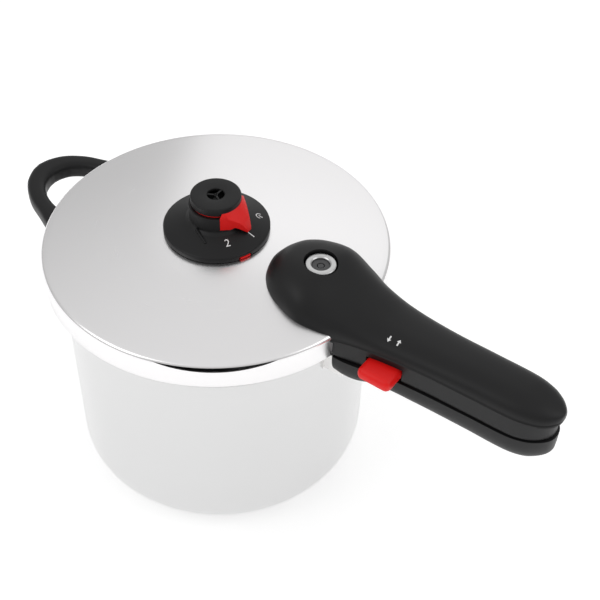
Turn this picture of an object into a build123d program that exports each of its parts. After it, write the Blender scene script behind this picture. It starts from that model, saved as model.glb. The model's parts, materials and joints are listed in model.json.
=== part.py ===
from build123d import *
import math
import os

# Stovetop pressure cooker with a bayonet lid and two stacked long handles.
# Millimetres. Origin: centre of the base underside. +Z up, +X along the long handles.

# ---- vessel ----
POT_R = 111.0               # outside of the wall, 220 inside
WALL = 1.0
POT_FLOOR_Z = 5.5           # underside of the vessel, on top of the base disc
POT_CORNER_R = 22.0
NECK_R = 116.0              # widened neck that carries the rim
FLARE_Z0 = 166.0
FLARE_Z1 = 177.0
FLARE_R = 9.0
RIM_Z = 191.0
RIM_T = 2.0
RIM_R = 116.4
LUG_R = 119.8
LUG_COUNT = 6
LUG_ARC = 26.0              # degrees covered by one bayonet lug
BASE_CORE_R = 89.0
BASE_CAP_R = 90.0
BASE_CAP_T = 0.8

# ---- lid ----
LID_R = 123.0
LID_EDGE_FILLET = 3.0
LID_T = 1.2
LID_SKIRT_Z = 181.0
DOME_R = 742.0
DOME_TOP_Z = 209.8
TAB_R = 116.8
TAB_Z0 = 186.6
TAB_Z1 = 188.4
WINDOW_ANGLE = -52.0
WINDOW_HALF_W = 40.0
WINDOW_Z = (194.8, 198.5)
GASKET = (107.0, 119.5, 191.2, 198.4)

# ---- long handles ----
PART_Z = 180.0              # parting plane between the two handles
PART_GAP = 0.4
COVER_Z = 195.0
COVER_WALL = 3.6
HANDLE_INNER_R = 123.3
# stations are (x, half width, crown z, fullness): fullness 2 is an ellipse, more is squarer
COVER_STATIONS = [(53, 3, 209, 2.3), (53.6, 9.2, 211, 2.3), (55.6, 15.2, 214, 2.3),
                  (59.4, 21, 218.4, 2.3), (66, 27.4, 222.8, 2.5), (77, 33.6, 225.4, 2.7),
                  (93, 37.4, 224.8, 2.7), (110, 35, 218, 2.4), (126, 29.4, 212.8, 2.5),
                  (148, 24.9, 208, 2.6), (180, 21.7, 207, 2.6), (215, 20.5, 208, 2.6),
                  (244, 19.8, 208, 2.6), (256, 17.4, 206.4, 2.6), (264.5, 13, 204, 2.6),
                  (269, 8, 202, 2.6), (270.8, 3, 200, 2.6)]
BAND_WIDTHS = [(112, 31), (127, 27.8), (148, 23.4), (180, 20.2), (215, 19), (245, 18), (259, 13.2),
               (267, 0)]
BAND_WALL = 3.0
BAND_FLOOR = 3.0
BRACKET_SCREW_X = 133.0
GRIP_SCREW_X = 235.0
SCREW_R = 1.9
SCREW_HEAD_R = 3.6
POT_HANDLE_STATIONS = [(113, 28, 160.6, 3.2), (122, 29.4, 158.6, 3.2), (129, 29.6, 157, 3.2),
                       (136, 28.6, 157, 3.2), (150, 25, 160.4, 3.2), (180, 22.2, 159.6, 3.2),
                       (215, 20.8, 158.8, 3.2), (244, 20, 158, 3.2), (257, 16.4, 158.8, 3.2),
                       (265, 10.2, 161.5, 3.2), (269.2, 3.5, 166, 3.2)]
POT_HANDLE_INNER_R = 123.0
POT_BRACKET_Z = (156.0, 173.0)
POT_BRACKET_T = 1.5
POT_SCREW_X = 150.0

# ---- lock slider ----
SLIDER_X = (143.0, 168.0)
SLIDER_Z = (181.4, 191.0)
SLIDER_Y = (-38.0, 22.3)
SLIDER_TRAVEL = 10.0
SLIDER_PLAY = 0.3
SLIDER_BAR_Z = (183.6, 190.0)
TONGUE_X = (150.0, 160.0)
TONGUE_Y = (-6.0, -4.4)
TONGUE_Z = (180.6, 188.0)

# ---- safety valve ----
SAFETY_X = 88.0
SAFETY_R = 10.6
SAFETY_TOP_Z = 224.0
SAFETY_BORE_R = 6.2
SAFETY_SEAT_Z = 208.0
SAFETY_STUD_R = 5.0
SAFETY_STUD_Z = 197.5
SAFETY_NUT_Z = (197.9, 200.4)

# ---- regulator valve on the lid's axis ----
STEM_R = 6.0
STEM_BORE_R = 1.6
STEM_FOOT_Z = (203.6, 206.4)
SEAT_Z = 222.0
DIAL_FLOOR_Z = (213.2, 215.0)
DIAL_R = 37.4
DIAL_Z = 209.2
DIAL_RIM_H = 3.6
DIAL_SHOULDER = (21.6, 219.2)
DIAL_NECK_R = 19.2
NECK_FOOT_Z = 220.8
DIAL_BORE_R = 16.2
NECK_TOP_Z = 232.2
CAP_R = 17.6
CAP_SLEEVE_R = 15.9
CAP_Z = (236.0, 239.3)
CAP_ROOF_T = 1.9
OUTLET_R = 6.0
POINTER_Z = (232.6, 235.7)
POINTER_R = 18.6
POINTER_ANGLE = 4.5
FOLLOWER_Z = (231.0, 232.6)
SPRING_WIRE_R = 0.45
TAB_ANGLE = -20.0
THREAD_PLAY = 0.05

# ---- helper handle ----
HELPER_Z = (164.5, 178.6)
HELPER_INNER_R = 116.4
HELPER_ROOT_R = 124.0
HELPER_OUTER = [(-100, 50), (-125, 45), (-142, 38), (-158, 31), (-171, 20.5), (-179.5, 0)]
HELPER_GAP = [(-100, 27), (-128, 27), (-146, 22.5), (-157.5, 14), (-162.5, 0)]
HELPER_SCREW = (-120.0, 10.0)


def lathe(points, x=0.0):
    """Solid of revolution about the vertical line at `x`, from (radius, height) points."""
    return Pos(x, 0, 0) * revolve(Plane.XZ * make_face(Polyline(*points, close=True)), Axis.Z)


def disc(radius, z0, z1, x=0.0, y=0.0):
    return Pos(x, y, (z0 + z1) / 2) * Cylinder(radius, z1 - z0)


def tube(r_out, r_in, z0, z1, x=0.0, y=0.0):
    return disc(r_out, z0, z1, x, y) - disc(r_in, z0 - 1, z1 + 1, x, y)


def block(x0, x1, y0, y1, z0, z1):
    return Pos((x0 + x1) / 2, (y0 + y1) / 2, (z0 + z1) / 2) * Box(x1 - x0, y1 - y0, z1 - z0)


def hexagon(across_flats, z0, z1, x=0.0):
    sketch = RegularPolygon(across_flats / 2, 6, major_radius=False)
    return Pos(x, 0, z0) * extrude(sketch, z1 - z0)


def sector(r_in, r_out, z0, z1, centre, arc):
    """Ring segment `arc` degrees wide, centred on the angle `centre`."""
    start = math.radians(centre - arc / 2)
    middle = math.radians(centre)
    end = math.radians(centre + arc / 2)

    def at(radius, angle):
        return (radius * math.cos(angle), radius * math.sin(angle))

    outline = (ThreePointArc(at(r_out, start), at(r_out, middle), at(r_out, end))
               + Line(at(r_out, end), at(r_in, end))
               + ThreePointArc(at(r_in, end), at(r_in, middle), at(r_in, start))
               + Line(at(r_in, start), at(r_out, start)))
    return Pos(0, 0, z0) * extrude(make_face(outline), z1 - z0)


def half_loop(points):
    """Closed outline, mirrored about the X axis, from a blunt end to a rounded tip on the axis."""
    run = points[1][0] - points[0][0]
    rise = points[1][1] - points[0][1]
    upper = Spline(*points, tangents=[(run, rise), (0, -1)])
    lower = mirror(upper, Plane.XZ)
    x, half = points[0]
    return make_face(upper + lower + Line((x, half), (x, -half)))


def crowned_loft(stations, base_z, inset=0.0):
    """Loft along X, with a flat face at `base_z` and the stations' crowns on the other side."""
    sections = []
    for x, half, crown_z, fullness in stations:
        lift = crown_z - base_z
        lift = lift - math.copysign(inset, lift)
        half = half - inset
        side = half * (1 - 0.5 ** fullness) ** (1 / fullness)
        corner = 0.5 ** (1 / fullness)
        crown = Spline((half, 0), (side, lift * 0.5), (half * corner, lift * corner), (0, lift),
                       (-half * corner, lift * corner), (-side, lift * 0.5), (-half, 0))
        section = Plane(origin=(x, 0, base_z), x_dir=(0, 1, 0), z_dir=(1, 0, 0))
        sections.append(section * make_face(crown + Line((-half, 0), (half, 0))))
    return loft(sections)


def prism_y(points, half_width):
    """Prism across Y from a closed (x, z) polygon."""
    return extrude(Plane.XZ * make_face(Polyline(*points, close=True)), half_width, both=True)


def prism_z(points, z0, z1):
    return Pos(0, 0, z0) * extrude(make_face(Polyline(*points, close=True)), z1 - z0)


def vessel_solid(offset):
    """Everything inside the vessel's outer surface, moved in by `offset`."""
    radii = [POT_CORNER_R - offset, FLARE_R + offset, FLARE_R - offset]
    path = FilletPolyline((0, POT_FLOOR_Z + offset), (POT_R - offset, POT_FLOOR_Z + offset),
                          (POT_R - offset, FLARE_Z0), (NECK_R - offset, FLARE_Z1),
                          (NECK_R - offset, RIM_Z + offset), radius=radii)
    close = Polyline((NECK_R - offset, RIM_Z + offset), (0, RIM_Z + offset),
                     (0, POT_FLOOR_Z + offset))
    return revolve(Plane.XZ * make_face(path + close), Axis.Z)


def lid_solid(offset):
    """Everything under the lid's outer surface, moved in by `offset`."""
    centre_z = DOME_TOP_Z - DOME_R
    sweep = math.asin((LID_R - LID_EDGE_FILLET) / (DOME_R - LID_EDGE_FILLET))

    def around_dome(angle):
        radius = DOME_R - offset
        return (radius * math.sin(angle), centre_z + radius * math.cos(angle))

    edge_x = LID_R - LID_EDGE_FILLET
    edge_z = centre_z + (DOME_R - LID_EDGE_FILLET) * math.cos(sweep)
    edge_r = LID_EDGE_FILLET - offset
    lean = math.pi / 4 - sweep / 2
    edge_middle = (edge_x + edge_r * math.cos(lean), edge_z + edge_r * math.sin(lean))
    edge_end = (edge_x + edge_r, edge_z)
    floor_z = LID_SKIRT_Z - offset
    outline = (ThreePointArc(around_dome(0), around_dome(sweep / 2), around_dome(sweep))
               + ThreePointArc(around_dome(sweep), edge_middle, edge_end)
               + Polyline(edge_end, (edge_end[0], floor_z), (0, floor_z), around_dome(0)))
    return revolve(Plane.XZ * make_face(outline), Axis.Z)


def coil(radius, z0, z1, turns, x=0.0):
    """Helical compression spring."""
    path = Helix(pitch=(z1 - z0) / turns, height=z1 - z0, radius=radius)
    section = Plane(path @ 0, z_dir=path % 0) * Circle(SPRING_WIRE_R)
    return Pos(x, 0, z0) * sweep(section, path=path, is_frenet=True)


def bayonet_ring(r_in, r_out, z0, z1):
    """The evenly spaced lugs of the bayonet, the first one on the +X axis."""
    pitch = 360 / LUG_COUNT
    ring = sector(r_in, r_out, z0, z1, 0, LUG_ARC)
    for index in range(1, LUG_COUNT):
        ring = ring + sector(r_in, r_out, z0, z1, index * pitch, LUG_ARC)
    return ring


# ---- vessel and base ----
def make_pot_body():
    shell = vessel_solid(0) - vessel_solid(WALL)
    shell = shell - disc(NECK_R + 10, RIM_Z, RIM_Z + 10)
    rim = tube(RIM_R, NECK_R - WALL, RIM_Z - RIM_T, RIM_Z)
    lugs = bayonet_ring(NECK_R - WALL / 2, LUG_R, RIM_Z - RIM_T, RIM_Z)
    return shell + rim + lugs


def make_base_core():
    return disc(BASE_CORE_R, BASE_CAP_T, POT_FLOOR_Z)


def make_base_cap():
    cup = disc(BASE_CAP_R, 0, POT_FLOOR_Z - 0.2)
    cup = fillet(cup.edges().group_by(Axis.Z)[0], 0.7)
    return cup - disc(BASE_CORE_R, BASE_CAP_T, POT_FLOOR_Z + 1)


# ---- lid ----
def make_lid_shell():
    outer = lid_solid(0)
    shell = outer - lid_solid(LID_T)
    tabs = bayonet_ring(TAB_R, LID_R - LID_T / 2, TAB_Z0, TAB_Z1)
    shell = shell + tabs
    low, high = WINDOW_Z
    lens = make_face(ThreePointArc((-WINDOW_HALF_W, high), (0, low), (WINDOW_HALF_W, high))
                     + Line((-WINDOW_HALF_W, high), (WINDOW_HALF_W, high)))
    lens_plane = Plane(origin=(LID_R - 18, 0, 0), x_dir=(0, 1, 0), z_dir=(1, 0, 0))
    shell = shell - Rot(0, 0, WINDOW_ANGLE) * extrude(lens_plane * lens, 25)
    shell = shell - disc(STEM_R + 0.1, 200, 212)
    return shell - disc(SAFETY_STUD_R + 0.1, 190, 212, SAFETY_X)


def make_gasket():
    """Silicone ring with a groove inside, held under the lid's edge."""
    r_in, r_out, z0, z1 = GASKET
    ring = tube(r_out, r_in + 2.5, z0, z1)
    ring = fillet(ring.edges(), 1.0)
    lip = lathe([(r_in, z0 + 2.2), (r_in + 5, z0 + 0.2), (r_in + 5, z0 + 1.8), (r_in, z0 + 3.6)])
    groove = tube(r_out - 4.5, r_in - 1, z0 + 3.0, z1 - 2.2)
    return (ring + lip) - groove


# ---- lid handle ----
def screw(x, y, z0, z1, head_t, shank_r, head_r):
    """Pan head below, shank upwards."""
    head = disc(head_r, z0, z0 + head_t, x, y)
    head = fillet(head.edges().group_by(Axis.Z)[0], head_t * 0.4)
    slot = block(x - head_r, x + head_r, y - 0.4, y + 0.4, z0 - 0.1, z0 + head_t * 0.4)
    return (head - slot) + disc(shank_r, z0 + head_t - 0.1, z1, x, y)


def make_lid_handle_cover():
    outer = crowned_loft(COVER_STATIONS, COVER_Z)
    hollow = crowned_loft(COVER_STATIONS[2:-2], COVER_Z - 0.5, COVER_WALL)
    boss = disc(SAFETY_R + 3, COVER_Z, 219.5, SAFETY_X)
    post = disc(5, COVER_Z, 207, GRIP_SCREW_X)
    cover = (outer - hollow) + boss + post
    cover = cover - lid_solid(0) - disc(HANDLE_INNER_R, 150, COVER_Z + 1)
    cover = cover - disc(SAFETY_R + 0.3, 190, 240, SAFETY_X)
    return cover - disc(SCREW_R + THREAD_PLAY, 190, 204.5, GRIP_SCREW_X)


def make_lid_handle_base():
    plan = half_loop(BAND_WIDTHS)
    inner_points = [(x, half - BAND_WALL) for x, half in BAND_WIDTHS[:-2]]
    hollow = half_loop(inner_points + [(BAND_WIDTHS[-1][0] - BAND_WALL - 1, 0)])
    body = extrude(Pos(0, 0, PART_Z) * plan, COVER_Z - PART_Z)
    body = body - disc(HANDLE_INNER_R, 150, 220)
    cavity = extrude(Pos(0, 0, PART_Z + BAND_FLOOR) * hollow, 30)
    body = body - (cavity - disc(HANDLE_INNER_R + BAND_WALL, 150, 230))
    for x, top in ((BRACKET_SCREW_X, 200.0), (GRIP_SCREW_X, COVER_Z)):
        body = body + disc(5.5, PART_Z, top, x)
        body = body - disc(SCREW_R + 0.2, 170, 230, x)
        body = body - disc(SCREW_HEAD_R + 0.3, 170, PART_Z + 4, x)
    slot = block(SLIDER_X[0] - SLIDER_PLAY, SLIDER_X[1] + SLIDER_PLAY, -60, 60,
                 SLIDER_Z[0] - SLIDER_PLAY, SLIDER_Z[1] + SLIDER_PLAY)
    keyway = block(TONGUE_X[0] - 0.5, TONGUE_X[1] + 0.5, TONGUE_Y[0] - 0.5,
                   TONGUE_Y[1] + SLIDER_TRAVEL + 0.5, 170, 185)
    return body - slot - keyway


def make_lid_handle_bracket():
    """Steel strap: its foot lies on the lid, its arm runs out under the cover."""
    strap = prism_y([(103, 204.6), (119, 201.9), (141, 201.9), (141, 200.3), (119, 200.3), (103, 200)], 10)
    return strap - lid_solid(0) - disc(SCREW_R + THREAD_PLAY, 190, 210, BRACKET_SCREW_X)


def make_lid_handle_screws():
    z0 = PART_Z + 1.2
    front = screw(BRACKET_SCREW_X, 0, z0, 203.5, 2.6, SCREW_R, SCREW_HEAD_R)
    rear = screw(GRIP_SCREW_X, 0, z0, 204.0, 2.6, SCREW_R, SCREW_HEAD_R)
    return Compound(children=[front, rear])


def make_lock_slider():
    near_y, far_y = SLIDER_Y
    x0, x1 = SLIDER_X
    z0, z1 = SLIDER_Z
    near = block(x0, x1, near_y, -14, z0, z1)
    near = fillet(near.faces().sort_by(Axis.Y)[0].edges(), 1.6)
    far = block(x0, x1, 12, far_y, z0, z1)
    far = fillet(far.faces().sort_by(Axis.Y)[-1].edges(), 1.2)
    bar = block(x0 + 3, x1 - 3, -15, 13, *SLIDER_BAR_Z)
    slider = near + bar + far - block(*TONGUE_X, *TONGUE_Y, 170, TONGUE_Z[1])
    for notch_y in (0, -SLIDER_TRAVEL):
        notch = Pos(155.5, notch_y, SLIDER_BAR_Z[1] + 1.2) * Rot(0, 90, 0) * Cylinder(2, 40)
        slider = slider - notch
    return slider


def make_lock_tongue():
    return block(*TONGUE_X, *TONGUE_Y, *TONGUE_Z)


def make_detent_spring():
    """Steel leaf whose crest faces the notches in the slider."""
    top = [(-17, 194.7), (-9, 194.7), (-1.5, 191.0), (1.5, 191.0), (9, 194.7), (17, 194.7)]
    low = [(17, 194.2), (9.3, 194.2), (1.8, 190.5), (-1.8, 190.5), (-9.3, 194.2), (-17, 194.2)]
    leaf = extrude(Plane.YZ * make_face(Polyline(*(top + low), close=True)), 4, both=True)
    return Pos(155.5, 0, 0) * leaf


# ---- pot handle ----
def make_pot_handle_bracket():
    """Bent channel: a curved plate on the wall, two side flanges and a tongue in the handle."""
    z0, z1 = POT_BRACKET_Z
    t = POT_BRACKET_T
    plate = sector(POT_R, POT_R + t, z0, z1 - 6, 0, 25)
    roof = prism_z([(105, -24), (125, -24), (133, -14), (160, -14), (160, 14), (133, 14), (125, 24),
                    (105, 24)], z1 - t, z1)
    flanges = block(105, 125, -24, -24 + t, z0 + 2, z1) + block(105, 125, 24 - t, 24, z0 + 2, z1)
    return (plate + roof + flanges) - vessel_solid(0) - disc(2.5 + THREAD_PLAY, 160, 180, POT_SCREW_X)


def make_pot_handle():
    body = crowned_loft(POT_HANDLE_STATIONS, PART_Z - PART_GAP)
    body = body - disc(POT_HANDLE_INNER_R, 100, 200)
    z0, z1 = POT_BRACKET_Z
    pocket = prism_z([(115, -24.2), (125.2, -24.2), (133.2, -14.2), (160.3, -14.2), (160.3, 14.2),
                      (133.2, 14.2), (125.2, 24.2), (115, 24.2)], z1 - POT_BRACKET_T, z1 + 0.1)
    hollow = block(115, 125.2, -24.2, 24.2, 150, z1)
    body = body - pocket - hollow
    body = body - disc(2.6, 150, 177.2, POT_SCREW_X)
    return body - disc(4.4, 140, 166, POT_SCREW_X)


def make_pot_handle_screw():
    return screw(POT_SCREW_X, 0, 163.2, 176.8, 2.8, 2.5, 4.1)


# ---- helper handle ----
def make_helper_handle():
    z0, z1 = HELPER_Z
    loop = extrude(Pos(0, 0, z0) * half_loop(HELPER_OUTER), z1 - z0)
    gap = extrude(Pos(0, 0, z0 - 5) * half_loop(HELPER_GAP), z1 - z0 + 10)
    loop = loop - (gap - disc(HELPER_ROOT_R, 100, 220))
    loop = loop - disc(HELPER_INNER_R, 100, 220)
    outer_rims = loop.edges().filter_by(lambda edge: edge.center().X < -135)
    loop = fillet(outer_rims, 3.5)
    x, y = HELPER_SCREW
    for side in (-y, y):
        loop = loop - disc(SCREW_R + THREAD_PLAY, 150, 175.3, x, side)
    return loop


def make_helper_bracket():
    leg_z = (HELPER_Z[0] - 1.6, HELPER_Z[0] - 0.1)
    plate = sector(POT_R, POT_R + POT_BRACKET_T, 146, 158, 180, 16)
    web = sector(POT_R, POT_R + POT_BRACKET_T, 157, leg_z[1], 180, 16) - vessel_solid(0)
    leg = sector(POT_R, HELPER_ROOT_R - 1, *leg_z, 180, 16) - vessel_solid(0)
    bracket = plate + web + leg
    x, y = HELPER_SCREW
    for side in (-y, y):
        bracket = bracket - disc(SCREW_R + THREAD_PLAY, 150, 170, x, side)
    return bracket


def make_helper_screws():
    x, y = HELPER_SCREW
    top = HELPER_Z[0] - 1.6
    return Compound(children=[screw(x, side, top - 2.4, 175.0, 2.4, SCREW_R, 3.0) for side in (-y, y)])


# ---- safety valve ----
def make_safety_valve_body():
    barrel = disc(SAFETY_R, 203, SAFETY_TOP_Z, SAFETY_X)
    barrel = fillet(barrel.edges().group_by(Axis.Z)[-1], 0.8)
    barrel = barrel - lid_solid(0)
    body = barrel + disc(SAFETY_STUD_R, SAFETY_STUD_Z, 207, SAFETY_X)
    body = body - disc(SAFETY_BORE_R, SAFETY_SEAT_Z, 230, SAFETY_X)
    return body - disc(2.0, 190, 210, SAFETY_X)


def make_safety_valve_plunger():
    low = SAFETY_SEAT_Z + 0.3
    return lathe([(0, low), (5.7, low), (5.7, low + 1.6), (2.2, low + 1.6), (2.2, 221.6),
                  (1.8, 222.0), (0, 222.0)], SAFETY_X)


def make_safety_valve_spring():
    return coil(3.9, SAFETY_SEAT_Z + 2.4, 219.7, 5, SAFETY_X)


def make_safety_valve_plug():
    return tube(SAFETY_BORE_R, 2.6, 220.3, 222.2, SAFETY_X)


def make_safety_valve_washer():
    return tube(9.0, SAFETY_STUD_R + THREAD_PLAY, SAFETY_NUT_Z[1], 207, SAFETY_X) & lid_solid(LID_T)


def make_safety_valve_nut():
    return hexagon(14, *SAFETY_NUT_Z, SAFETY_X) - disc(SAFETY_STUD_R + THREAD_PLAY, 190, 205, SAFETY_X)


# ---- regulator valve ----
def make_valve_stem():
    foot = hexagon(20, *STEM_FOOT_Z)
    stem = foot + disc(STEM_R, STEM_FOOT_Z[0], SEAT_Z)
    stem = chamfer(stem.edges().group_by(Axis.Z)[-1], 1.5)
    return stem - disc(STEM_BORE_R, 190, 230)


def make_valve_washer():
    return tube(10.4, STEM_R + THREAD_PLAY, STEM_FOOT_Z[1], DOME_TOP_Z - LID_T - 0.1)


def make_valve_nuts():
    bore = disc(STEM_R + THREAD_PLAY, 200, 230)
    lower = hexagon(19, DOME_TOP_Z, DIAL_FLOOR_Z[0]) - bore
    upper = hexagon(17, DIAL_FLOOR_Z[1], DIAL_FLOOR_Z[1] + 3.2) - bore
    return Compound(children=[lower, upper])


def make_valve_dial():
    """Conical skirt and upright neck in one moulding."""
    floor_z, floor_top = DIAL_FLOOR_Z
    rim_z = DIAL_Z + DIAL_RIM_H
    dial = lathe([(STEM_R + 0.1, floor_z), (26, floor_z), (DIAL_R - 1.8, rim_z - 1.8),
                  (DIAL_R - 1.8, DIAL_Z), (DIAL_R, DIAL_Z), (DIAL_R, rim_z), (DIAL_R - 0.8, rim_z + 0.7),
                  DIAL_SHOULDER, (DIAL_NECK_R, NECK_FOOT_Z), (DIAL_NECK_R, NECK_TOP_Z),
                  (DIAL_BORE_R, NECK_TOP_Z), (DIAL_BORE_R, floor_top), (STEM_R + 0.1, floor_top)])
    return dial - Rot(0, 0, TAB_ANGLE) * block(27, 40, -5, 5, 205, 211.4)


def make_release_tab():
    tab = block(29, DIAL_R + 1.0, -4, 4, 209.6, 211.0)
    tab = fillet(tab.edges().filter_by(Axis.Z).sort_by(Axis.X)[2:], 1.5)
    return Rot(0, 0, TAB_ANGLE) * tab


def make_regulator_needle():
    return lathe([(0, 219.6), (1.3, 221.9), (1.3, SEAT_Z + 0.3), (4.5, SEAT_Z + 0.3),
                  (4.5, 224.6), (2.0, 224.6), (2.0, 234.6), (0, 234.6)])


def make_regulator_spring():
    return coil(3.3, 225.2, 230.4, 4)


def make_spring_follower():
    return tube(13.4, 2.4, *FOLLOWER_Z)


def make_selector_pointer():
    """Ring round the cap's sleeve with a wedge-shaped arm that reaches down over the dial."""
    z0, z1 = POINTER_Z
    clear = DIAL_NECK_R + 0.3
    ring = lathe([(CAP_SLEEVE_R + THREAD_PLAY, z0), (POINTER_R, z0), (POINTER_R, z0 + 1.6),
                  (POINTER_R - 1.0, z1), (CAP_SLEEVE_R + THREAD_PLAY, z1)])
    wrap = lathe([(17, z0), (clear, z0), (clear, 223.0), (20.9, 222.6), (21.8, 224.6), (27.6, 218.4),
                  (27.6, 220.0), (24.5, 226.5), (POINTER_R - 1.0, z1), (17, z1)])
    plan = prism_z([(13, -14.6), (27.2, -2.2), (27.2, 2.2), (13, 14.6)], 210, 240)
    return Rot(0, 0, POINTER_ANGLE) * (ring + (wrap & plan))


def make_selector_cap():
    """Knob with a sleeve that turns in the dial's neck and a three-spoked steam outlet."""
    z0, z1 = CAP_Z
    roof_z = z1 - CAP_ROOF_T
    cap = lathe([(14, 222.5), (CAP_SLEEVE_R, 222.5), (CAP_SLEEVE_R, z0), (CAP_R - 0.5, z0),
                 (CAP_R, z0 + 0.7), (CAP_R, z1 - 1), (CAP_R - 1, z1), (OUTLET_R, z1),
                 (OUTLET_R, roof_z), (14, roof_z)])
    spokes = disc(1.3, roof_z, z1 - 0.6)
    for angle in (90, 210, 330):
        spokes = spokes + Rot(0, 0, angle) * block(0, OUTLET_R + 0.5, -0.7, 0.7, roof_z, z1 - 0.6)
    return cap + spokes


PARTS = {
    "pot_body": make_pot_body,
    "base_core": make_base_core,
    "base_cap": make_base_cap,
    "pot_handle_bracket": make_pot_handle_bracket,
    "pot_handle": make_pot_handle,
    "pot_handle_screw": make_pot_handle_screw,
    "helper_bracket": make_helper_bracket,
    "helper_handle": make_helper_handle,
    "helper_screws": make_helper_screws,
    "lid_shell": make_lid_shell,
    "lid_gasket": make_gasket,
    "lid_handle_bracket": make_lid_handle_bracket,
    "lid_handle_base": make_lid_handle_base,
    "lid_handle_cover": make_lid_handle_cover,
    "lid_handle_screws": make_lid_handle_screws,
    "lock_slider": make_lock_slider,
    "lock_tongue": make_lock_tongue,
    "detent_spring": make_detent_spring,
    "safety_valve_body": make_safety_valve_body,
    "safety_valve_plunger": make_safety_valve_plunger,
    "safety_valve_spring": make_safety_valve_spring,
    "safety_valve_plug": make_safety_valve_plug,
    "safety_valve_washer": make_safety_valve_washer,
    "safety_valve_nut": make_safety_valve_nut,
    "valve_stem": make_valve_stem,
    "valve_washer": make_valve_washer,
    "valve_nuts": make_valve_nuts,
    "valve_dial": make_valve_dial,
    "valve_release_tab": make_release_tab,
    "regulator_needle": make_regulator_needle,
    "regulator_spring": make_regulator_spring,
    "spring_follower": make_spring_follower,
    "selector_pointer": make_selector_pointer,
    "selector_cap": make_selector_cap,
}

os.makedirs("parts", exist_ok=True)
for name, make in PARTS.items():
    export_step(make(), f"parts/{name}.step")
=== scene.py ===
"""Looks of a stovetop pressure cooker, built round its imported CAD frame.

Sizes in the classes are in millimetres, in the frame of the part: origin under the base, +Z up and
+X along the long handles. Finished meshes are scaled to metres.
"""
import json
import logging
import math
from dataclasses import dataclass
from enum import Enum
from typing import Callable, Iterable, Sequence

import bmesh
import bpy
from bmesh.types import BMesh, BMVert
from mathutils import Matrix, Vector
from mathutils.bvhtree import BVHTree


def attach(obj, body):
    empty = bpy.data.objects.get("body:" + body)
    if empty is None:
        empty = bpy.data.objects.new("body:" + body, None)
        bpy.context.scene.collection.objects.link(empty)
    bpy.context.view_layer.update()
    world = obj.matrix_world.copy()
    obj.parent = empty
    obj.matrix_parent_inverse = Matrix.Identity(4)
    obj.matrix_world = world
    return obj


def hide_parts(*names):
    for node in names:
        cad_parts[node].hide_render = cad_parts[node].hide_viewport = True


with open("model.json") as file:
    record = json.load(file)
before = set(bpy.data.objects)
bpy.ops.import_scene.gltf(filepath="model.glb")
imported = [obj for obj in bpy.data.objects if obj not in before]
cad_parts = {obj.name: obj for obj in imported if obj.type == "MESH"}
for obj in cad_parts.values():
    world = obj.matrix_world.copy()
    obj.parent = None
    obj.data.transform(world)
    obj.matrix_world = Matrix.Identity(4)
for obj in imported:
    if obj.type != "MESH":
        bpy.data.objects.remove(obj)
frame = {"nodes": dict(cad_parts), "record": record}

logging.basicConfig(level=logging.INFO, format="%(message)s")
log = logging.getLogger("cooker")

MM = 0.001
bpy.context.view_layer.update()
Point = tuple[float, float]


class Body(Enum):
    """The rigid bodies that pieces ride on."""

    POT = "pot"
    LID = "lid"
    LOCK = "lock"
    SAFETY = "safety_plunger"
    SELECTOR = "selector"
    RELEASE = "release"


class Brushing(Enum):
    """How the fine lines of a worked steel surface run."""

    RINGS = "rings"
    ROUND_THE_WALL = "round_the_wall"
    PLAIN = "plain"


# ---------------------------------------------------------------- outlines and mesh operations


class Pen:
    """Draws an outline in the XZ plane with straight runs and round arcs."""

    def __init__(self, x: float, z: float) -> None:
        """Starts the outline.

        Args:
            x: First point's X.
            z: First point's Z.
        """
        self.bm = bmesh.new()
        self.first = self.bm.verts.new((x, 0.0, z))
        self.last = self.first
        self.corners: list[tuple[BMVert, float, int]] = []

    def line(self, x: float, z: float, radius: float = 0.0, steps: int = 5) -> "Pen":
        """Adds a straight run.

        Args:
            x: End point's X.
            z: End point's Z.
            radius: Rounding of the corner at the end point.
            steps: Segments of that rounding.

        Returns:
            The pen.
        """
        made = bmesh.ops.extrude_vert_indiv(self.bm, verts=[self.last])
        vert = made["verts"][0]
        bmesh.ops.translate(self.bm, verts=[vert], vec=Vector((x, 0.0, z)) - vert.co)
        self.last = vert
        if radius:
            self.corners.append((vert, radius, steps))
        return self

    def arc(self, centre: Point, degrees: float, steps: int) -> "Pen":
        """Adds a round arc from the last point.

        Args:
            centre: The arc's centre (x, z).
            degrees: Turn from +X towards +Z.
            steps: Segments.

        Returns:
            The pen.
        """
        made = bmesh.ops.spin(
            self.bm, geom=[self.last], cent=(centre[0], 0.0, centre[1]), axis=(0.0, -1.0, 0.0),
            angle=math.radians(degrees), steps=steps,
        )
        self.last = next(item for item in made["geom_last"] if isinstance(item, BMVert))
        return self

    def close(self) -> "Pen":
        """Joins the last point to the first one.

        Returns:
            The pen.
        """
        self.bm.edges.new((self.last, self.first))
        return self

    def done(self) -> BMesh:
        """Rounds the marked corners.

        Returns:
            The outline as a wire.
        """
        for vert, radius, steps in self.corners:
            ends = [edge.other_vert(vert).co - vert.co for edge in vert.link_edges]
            turn = math.pi - ends[0].angle(ends[1])
            bmesh.ops.bevel(
                self.bm, geom=[vert], offset=radius * math.tan(turn / 2), offset_type="OFFSET",
                segments=steps, profile=0.5, affect="VERTICES", material=-1, clamp_overlap=False,
            )
        bmesh.ops.remove_doubles(self.bm, verts=self.bm.verts, dist=1e-4)
        return self.bm


def tidy(bm: BMesh) -> BMesh:
    """Merges doubles and turns all faces outwards.

    Args:
        bm: The mesh.

    Returns:
        The same mesh.
    """
    bmesh.ops.remove_doubles(bm, verts=bm.verts, dist=1e-4)
    bmesh.ops.dissolve_degenerate(bm, dist=1e-5, edges=bm.edges)
    bmesh.ops.recalc_face_normals(bm, faces=bm.faces)
    return bm


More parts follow.
